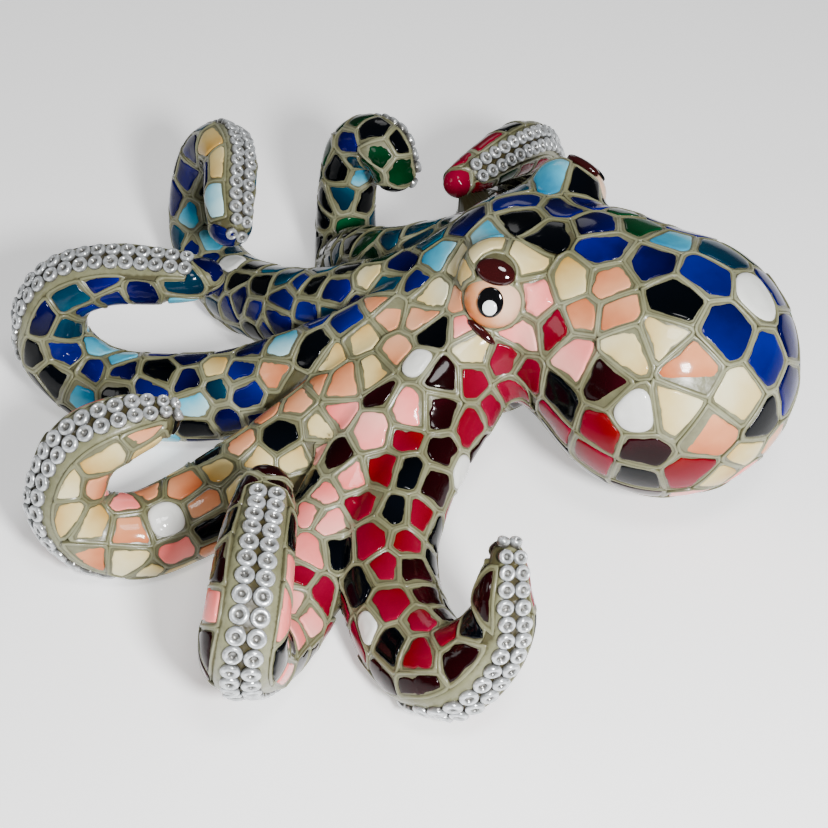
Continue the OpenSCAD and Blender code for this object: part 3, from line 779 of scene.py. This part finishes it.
def add_patch(shells, p, n, quads, dark):
    """A patch of skin as a closed shell: the skin, the same patch set inwards, a wall round the border."""
    used, local = np.unique(quads, return_inverse=True)
    local = local.reshape(-1, 4)
    m = len(used)
    points = np.vstack([p[used], p[used] - n[used] * SHELL])
    edges = {}
    for q in local.tolist():
        for a, b in zip(q, q[1:] + q[:1]):
            edges[(a, b)] = edges.get((a, b), 0) + 1
    faces = [tuple(q) for q in local.tolist()]
    faces += [tuple(v + m for v in reversed(q)) for q in local.tolist()]
    faces += [(b, a, a + m, b + m) for (a, b) in edges if (b, a) not in edges]
    shells.add(points, faces, np.concatenate([dark[used], dark[used]]))


# ---------------- suckers

# How deep suckers and domes are set into what carries them
FOOT = 0.6


def lathe(shells, centre, axis, side, profile, around, depth, squash=(1, 1)):
    """A turned solid from a profile of radius and height pairs, closed at both ends by a middle point."""
    up = unit(axis)
    e1 = across(side, up)
    e2 = np.cross(up, e1)
    a = np.arange(around) * 2 * math.pi / around
    e1, e2 = e1 * squash[0], e2 * squash[1]
    rings = [centre + (e1[None] * np.cos(a)[:, None] + e2[None] * np.sin(a)[:, None]) * r + up * h
             for r, h in profile]
    points, faces = ring_stack(rings, centre + up * profile[-1][1], centre + up * profile[0][1])
    shells.add(points, faces, depth)


# Gap between the suckers of a row, diameter where an arm has no girth, and radius that adds 1 mm to it
SUCKER_GAP, SUCKER_MIN_D, SUCKER_TAPER = -0.12, 2.6, 5
# Half the room between the rows, where on the arm they end, and how finely places are tried
ROW_ROOM, ROWS_END, TRY_EVERY = 0.05, 0.42, 0.15
# Suckers round a tip: degrees from the sucker side, how much smaller they are, how far out they stand
TIP_SUCKERS, TIP_SMALLER, TIP_OUT = [58, 44, 30, 16], 0.4, 0.93


def sucker_stops(k, side):
    """Places along one row of suckers on arm k, round its tip first, each just clear of the one before it."""
    arm = ARMS[k]
    before = np.full(3, FAR)
    end, r, t, u = arm.at(arm.length)
    for a in np.radians([] if arm.bare_tip > 0 else TIP_SUCKERS):
        d = SUCKER_MIN_D + r / SUCKER_TAPER - TIP_SMALLER
        out = u * math.cos(a) + t * math.sin(a)
        at = end + out * r * TIP_OUT + np.cross(t, u) * side * (d / 2 + ROW_ROOM)
        if np.linalg.norm(at - before) >= d:
            before = at
            yield at, out, unit(np.cross(np.cross(t, u), out)), d
    for s in np.arange(arm.length - arm.bare_tip, ROWS_END * arm.length, -TRY_EVERY):
        c, r, t, u = arm.at(s)
        d = SUCKER_MIN_D + r / SUCKER_TAPER
        at = c + u * (r * math.cos(STRIP_HALF)) + np.cross(t, u) * side * (d / 2 + ROW_ROOM)
        if np.linalg.norm(at - before) >= d + SUCKER_GAP:
            before = at
            yield at, u, t, d


SUCKER_H, SUCKER_SIDES = 1.5, 24
# Share of the radius that the hole takes, outward splay of the two rows, and tilt
HOLE, SPLAY, SUCKER_TILT = (0.34, 0.46), 1.2, 0.07
# How dark the painted shade lies on each ring, from the foot over the lip into the hole, and on both ends
SUCKER_SHADE_RINGS, SUCKER_SHADE_ENDS = [1.0, 1.0, 0.6, 0.22, 0.05, 0.0, 0.2, 0.8, 1.0, 0.85], [1.0, 0.7]


def add_suckers(k, shells, rng):
    """Two rows of ring-shaped suckers, wherever arm k's sucker side is clear of the figure and the table."""
    h = SUCKER_H
    for side in (-1, 1):
        for at, u, t, d in sucker_stops(k, side):
            if figure(at[None] + u * 1.6)[0][0] < 0.2 or at[2] < 1.2 + d * 0.4:
                continue
            r = d / 2
            hole = rng.uniform(*HOLE)
            lean = u + (t * rng.normal() + np.cross(t, u) * (rng.normal() + SPLAY * side)) * SUCKER_TILT
            wall = [(r * 0.94, -FOOT), (r * 0.98, 0.0), (r * 1.03, h * 0.4), (r * 1.0, h * 0.68)]
            lip = [(r * 0.88, h * 0.9), (r * 0.72, h), (r * (hole + 0.14), h * 0.93)]
            inside = [(r * hole, h * 0.62), (r * hole * 0.8, h * 0.38), (r * hole * 0.4, h * 0.3)]
            # Painted shade: dark at the sucker's foot and deep in its hole, light on its lip
            darkening = np.append(np.repeat(SUCKER_SHADE_RINGS, SUCKER_SIDES), SUCKER_SHADE_ENDS)
            lathe(shells, at, lean, t, wall + lip + inside, SUCKER_SIDES, darkening)


def dome(r, height, rim, steps):
    """Profile of a round dome standing on a short rim."""
    out = [(r, -FOOT), (r, rim)]
    for i in range(steps):
        b = math.radians(90 * i / steps)
        out.append((r * math.cos(b), rim + height * math.sin(b)))
    return out


# ---------------- materials


def linear(value):
    """One channel from sRGB 0-255 to linear."""
    v = value / 255
    return v / 12.92 if v <= 0.04045 else ((v + 0.055) / 1.055) ** 2.4


# Where the Mix node keeps its factor, its two colours and its result
MIX_INPUTS, MIX_RESULT = (0, 6, 7), 2


def fill(node, **values):
    """Sets a shader node's inputs."""
    for key, value in values.items():
        node.inputs[key.replace("_", " ")].default_value = value


class Nodes:
    """Small helper to build a node material."""

    def __init__(self, name):
        self.mat = bpy.data.materials.new(name)
        self.mat.use_nodes = True
        self.tree = self.mat.node_tree
        self.tree.nodes.clear()
        out = self.node("ShaderNodeOutputMaterial")
        self.bsdf = self.node("ShaderNodeBsdfPrincipled")
        self.link(self.bsdf.outputs[0], out.inputs["Surface"])

    def node(self, kind, **values):
        made = self.tree.nodes.new(kind)
        for key, value in values.items():
            setattr(made, key, value)
        return made

    def link(self, a, b):
        self.tree.links.new(a, b)

    def attribute(self, name):
        return self.node("ShaderNodeAttribute", attribute_name=name).outputs["Fac"]

    def noise(self, scale, detail, rough=0.5):
        n = self.node("ShaderNodeTexNoise")
        fill(n, Scale=scale, Detail=detail, Roughness=rough)
        self.link(self.node("ShaderNodeTexCoord").outputs["Object"], n.inputs["Vector"])
        return n.outputs["Fac"]

    def ramp(self, fac, stops):
        """A colour ramp from pairs of place and sRGB colour."""
        r = self.node("ShaderNodeValToRGB")
        while len(r.color_ramp.elements) < len(stops):
            r.color_ramp.elements.new(0.5)
        for e, (at, colour) in zip(r.color_ramp.elements, stops):
            e.position = at
            e.color = (*map(linear, colour), 1)
        self.link(fac, r.inputs["Fac"])
        return r.outputs["Color"]

    def mix(self, fac, a, b):
        m = self.node("ShaderNodeMix", data_type="RGBA")
        for value, socket in zip((fac, a, b), MIX_INPUTS):
            self.link(value, m.inputs[socket])
        return m.outputs[MIX_RESULT]

    def maths(self, op, a, b=0.0, c=0.0):
        m = self.node("ShaderNodeMath", operation=op)
        for value, socket in zip((a, b, c), m.inputs):
            if isinstance(value, (int, float)):
                socket.default_value = value
            else:
                self.link(value, socket)
        return m.outputs[0]

    def bump(self, height, strength, distance):
        b = self.node("ShaderNodeBump")
        fill(b, Strength=strength, Distance=distance)
        self.link(height, b.inputs["Height"])
        self.link(b.outputs["Normal"], self.bsdf.inputs["Normal"])

    def base(self, colour):
        self.link(colour, self.bsdf.inputs["Base Color"])


# Cast stone, and the colour it darkens to: the joints' dark wash and painted shade
STONE = [(0.3, (91, 91, 64)), (0.5, (111, 111, 84)), (0.72, (133, 134, 109))]
STONE_WASH_AND_SHADE = [(0.35, (36, 31, 14)), (0.65, (64, 58, 34))]


def casting_material():
    """Pale cast stone, darkened by the depth attribute: a dark wash in its joints and painted shade in its
    low parts.
    """
    m = Nodes("casting")
    dark = m.attribute("depth")
    broad = m.noise(45, 4)
    fine = m.noise(420, 5, 0.65)
    stone, darkening = m.ramp(broad, STONE), m.ramp(fine, STONE_WASH_AND_SHADE)
    # The depth attribute's painted shade and joint wash, with a little noise
    edge = m.maths("MULTIPLY_ADD", m.maths("SUBTRACT", fine, 0.5), 0.9, dark)
    spread = m.node("ShaderNodeMapRange")
    fill(spread, From_Min=0.1, From_Max=1.0)
    m.link(edge, spread.inputs["Value"])
    m.base(m.mix(spread.outputs["Result"], stone, darkening))
    fill(m.bsdf, Roughness=0.36, Specular_IOR_Level=0.3, Coat_Weight=0.2, Coat_Roughness=0.18)
    m.bump(m.noise(700, 5), 0.35, 0.0004)
    return m.mat


# Place on an enamel's ramp: the lowest, and its drift from tile to tile, across a tile and in clouds
TONE, TONE_BY_TILE, TONE_ACROSS, TONE_CLOUDS = 0.33, 0.34, 0.28, 0.35


def enamel_material(name, stops, coat=0.15, rough=0.12):
    """Glossy poured enamel: tone drifts across each tile and from tile to tile."""
    m = Nodes(name)
    across_tile = m.attribute("lean")
    tone = m.maths("MULTIPLY_ADD", m.attribute("depth"), TONE_BY_TILE, TONE)
    tone = m.maths("MULTIPLY_ADD", across_tile, TONE_ACROSS, tone)
    tone = m.maths("MULTIPLY_ADD", m.maths("SUBTRACT", m.noise(160, 3), 0.5), TONE_CLOUDS, tone)
    m.base(m.ramp(tone, stops))
    fill(m.bsdf, Roughness=rough, Specular_IOR_Level=0.06, Coat_Weight=coat, Coat_Roughness=0.04)
    m.bump(m.noise(260, 2), 0.12, 0.0004)
    return m.mat


# Enamel of each letter: its node's name, and its ramp
COLOURS = {
    "C": ("crimson", [(0.2, (102, 0, 3)), (0.35, (96, 0, 15)), (0.9, (120, 2, 40))]),
    "M": ("maroon", [(0.1, (10, 0, 0)), (0.6, (22, 1, 3)), (0.95, (46, 3, 12))]),
    "K": ("black", [(0.2, (0, 1, 2)), (0.8, (2, 4, 8))]),
    "P": ("pink", [(0.1, (210, 86, 80)), (0.5, (236, 130, 124)), (0.9, (242, 170, 158))]),
    "H": ("peach", [(0.1, (166, 86, 48)), (0.5, (200, 130, 90)), (0.9, (212, 156, 120))]),
    "E": ("cream", [(0.1, (172, 132, 62)), (0.5, (198, 178, 120)), (0.9, (212, 208, 172))]),
    "R": ("royal_blue", [(0.1, (0, 2, 56)), (0.5, (0, 4, 80)), (0.9, (0, 16, 108))]),
    "N": ("navy", [(0.1, (0, 0, 20)), (0.5, (1, 0, 58)), (0.9, (3, 0, 104))]),
    "L": ("light_blue", [(0.15, (10, 98, 134)), (0.45, (64, 156, 184)), (0.85, (178, 212, 214))]),
    "T": ("teal", [(0.1, (0, 20, 36)), (0.5, (0, 40, 60)), (0.9, (6, 74, 94))]),
    "G": ("green", [(0.1, (0, 18, 8)), (0.5, (0, 38, 15)), (0.9, (2, 64, 34))]),
}

PEARL_WHITE = [(0.2, (188, 188, 182)), (0.8, (222, 224, 220))]
EYE_GLAZE = [(0.25, (186, 92, 24)), (0.45, (208, 138, 90)), (0.7, (214, 176, 146))]
EYE_BLACK = [(0.2, (2, 2, 3)), (0.8, (8, 8, 10))]
EYE_WHITE = [(0.2, (226, 228, 228)), (0.8, (244, 245, 245))]
BROW_MAROON = [(0.1, (22, 3, 3)), (0.9, (52, 10, 12))]
SILVER = [(0.3, (158, 161, 162)), (0.7, (212, 216, 220))]
SUCKER_SHADE_COLOUR = [(0.3, (36, 31, 24)), (0.7, (82, 76, 62))]


def sucker_material():
    """Silver-grey beads with painted shade at their feet and in their holes."""
    m = Nodes("sucker_pearl")
    dark = m.attribute("depth")
    fine = m.noise(700, 4)
    # The depth attribute mixes in the painted shade
    m.base(m.mix(m.maths("MULTIPLY", dark, 0.9), m.ramp(fine, SILVER), m.ramp(fine, SUCKER_SHADE_COLOUR)))
    fill(m.bsdf, Roughness=0.22, Metallic=0.5, Specular_IOR_Level=0.6, Coat_Weight=0.4, Coat_Roughness=0.12)
    m.bump(m.noise(800, 3), 0.35, 0.0003)
    return m.mat


# ---------------- build


def finish_piece(piece, nodes, slot):
    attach(piece, "root")
    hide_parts(*nodes)


def build():
    rng = np.random.default_rng(7)
    points, quads = core_skin()
    skin = onto_skin(points, 4)
    cells = Cells(skin)
    casting = casting_material()
    shells = {owner: Shells() for owner in sorted(set(cells.owner))}
    core_pieces(cells, shells, skin, quads)
    tiles = {letter: Shells() for letter in [*COLOURS, PEARL_CELL]}
    for i in range(len(cells.p)):
        add_pad(shells[cells.owner[i]], cells, i, rng)
        letter = cells.colour[i]
        if letter == PEARL_CELL:
            add_pearl(tiles[letter], cells, i, rng)
        elif letter == DROP_CELL:
            add_tile(tiles["P"], cells, i, rng, PLUMP_SWELL)
        else:
            add_tile(tiles[letter], cells, i, rng)
    for owner, group in shells.items():
        finish_piece(group.piece(f"{owner}_cast", casting), [owner], "casting")
    for letter, (name, stops) in COLOURS.items():
        finish_piece(tiles[letter].piece(f"tiles_{name}_poured", enamel_material(f"enamel_{name}", stops)),
                     [f"tiles_{name}"], f"enamel_{name}")
    pearl = enamel_material("pearl", PEARL_WHITE, 0.5, 0.16)
    finish_piece(tiles[PEARL_CELL].piece("pearls_domed", pearl), ["pearls"], "pearl")
    silver = sucker_material()
    for k in range(len(ARMS)):
        group = Shells()
        add_suckers(k, group, rng)
        finish_piece(group.piece(f"suckers_{k + 1}_rings", silver), [f"suckers_{k + 1}"], "sucker_pearl")
    add_eyes()


# Value of the depth attribute (painted shade and wash on the casting, tone on enamel) for a piece that is a
# single turned solid
EVEN = 0.5
# How deep the pupil is sunk under the eye's top
PUPIL_SUNK = 0.8
UP = np.array([0.0, 0, 1])


def add_turned(name, material, node, slot, *turning):
    group = Shells()
    lathe(group, *turning)
    finish_piece(group.piece(name, material), [node], slot)


def add_eyes():
    """Both eyes with pupil, glint and lower lid, and the dark drop on each brow."""
    glaze = enamel_material("eye_glaze", EYE_GLAZE, 0.5, 0.14)
    black = enamel_material("eye_black", EYE_BLACK, 0.9, 0.08)
    white = enamel_material("eye_white", EYE_WHITE, 0.8, 0.1)
    maroon = enamel_material("brow_maroon", BROW_MAROON, 0.9, 0.08)
    # Radius, height, shift up the eye, lift over the pupil's foot, squash, material and slot
    drops = {"pupil": (3.5, 0.55, 0.0, 0, (1.12, 0.95), black, "enamel_black"),
             "glint": (1.95, 0.4, -1.3, 0.5, (1.0, 0.95), white, "enamel_white")}
    for side, word in ((-1, "left"), (1, "right")):
        c, axis = eye_c(side), eye_axis(side)
        group = Shells()
        lathe(group, c - axis * FOOT, axis, UP, dome(EYE_R, EYE_R - FOOT, FOOT, 14), 48, EVEN)
        # The glaze grades from orange on the dome's lower side to pale peach on its upper side, which faces
        # the lamps: partly the glaze's own colour, partly painted light
        group.lean[-1] = (group.points[-1] - c) @ unit(np.array([0.8, -side * 0.2, 0.6])) / EYE_R
        finish_piece(group.piece(f"eye_{word}_dome", glaze), [f"eye_{word}"], "eye_glaze")
        up = across(UP, axis)
        for name, (size, high, shift, lift, squash, mat, slot) in drops.items():
            at = c + axis * (EYE_R - PUPIL_SUNK + lift) + up * shift
            add_turned(f"{name}_{word}_drop", mat, f"{name}_{word}", slot,
                       at, axis, up, dome(size, high, 0.3, 8), 32, EVEN, squash)
        slit, out, *_ = onto_skin(c[None] + SLIT_FROM_EYE * (1, side, 1))
        slit, out = slit[0], out[0]
        along_slit = unit(np.array([0.86, 0.06 * side, -0.5]))
        add_turned(f"eyelid_{word}_line", maroon, "tiles_maroon", "enamel_maroon",
                   slit + out * 0.1, out, along_slit, dome(4.6, 0.9, 0.3, 6), 36, EVEN, (1.0, 0.27))
        brow = brow_tile_c(side)
        out = unit(brow - brow_c(side))
        ahead = np.array([1.0, 0, 0])
        add_turned(f"brow_tile_{word}_drop", maroon, f"brow_tile_{word}", "enamel_maroon",
                   brow - out * 0.4, out, ahead, dome(4.6, 1.3, 0.5, 8), 36, EVEN, (1.1, 0.72))


# ---------------- light, floor and camera


# Round lamps, in metres and watts: name, place, size and power
LAMPS = [("key", (0.32, -0.3, 0.34), 0.08, 6), ("overhead", (0.2, -0.2, 0.6), 0.15, 1.6),
         ("fill", (-0.45, -0.5, 0.3), 0.2, 0.6), ("back", (-0.3, 0.5, 0.35), 0.2, 0.25)]
LAMPS_AIM = (0.015, -0.02, 0.03)
FLOOR_HALF, FLOOR_GREY, FLOOR_GLOW, SKY_GLOW = 4, 0.93, 0.55, 0.1
# The camera: degrees round and above the figure, the point it aims at, distance, lens and sensor
AZIMUTH, ELEVATION = 28, 42
TARGET, DISTANCE = (0.015, -0.020, 0.028), 0.45
LENS, SENSOR = 74.5, 36


def add_lamp(name, place, size, power):
    data = bpy.data.lights.new(name, "AREA")
    data.energy, data.size = power, size
    data.shape = "DISK"
    lamp = new_object(name, data)
    lamp.location = place
    lamp.rotation_euler = (Vector(LAMPS_AIM) - Vector(place)).to_track_quat("-Z", "Y").to_euler()


def studio():
    corners = [(x * FLOOR_HALF, y * FLOOR_HALF, 0) for x, y in ((-1, -1), (1, -1), (1, 1), (-1, 1))]
    floor = new_object("floor", new_mesh("floor", corners, [(0, 1, 2, 3)]))
    paper = Nodes("paper")
    fill(paper.bsdf, Roughness=0.9, Specular_IOR_Level=0.1, Emission_Strength=FLOOR_GLOW,
         Base_Color=(*[FLOOR_GREY] * 3, 1), Emission_Color=(1, 1, 1, 1))
    floor.data.materials.append(paper.mat)
    world = bpy.data.worlds.new("studio")
    world.use_nodes = True
    fill(world.node_tree.nodes["Background"], Color=(1, 1, 1, 1), Strength=SKY_GLOW)
    bpy.context.scene.world = world
    for lamp in LAMPS:
        add_lamp(*lamp)


def camera():
    data = bpy.data.cameras.new("view")
    data.lens, data.sensor_width = LENS, SENSOR
    cam = new_object("view", data)
    az, el = math.radians(AZIMUTH), math.radians(ELEVATION)
    back = Vector((math.sin(az) * math.cos(el), -math.cos(az) * math.cos(el), math.sin(el)))
    cam.location = Vector(TARGET) + back * DISTANCE
    cam.rotation_euler = back.to_track_quat("Z", "Y").to_euler()
    bpy.context.scene.camera = cam


build()
studio()
camera()
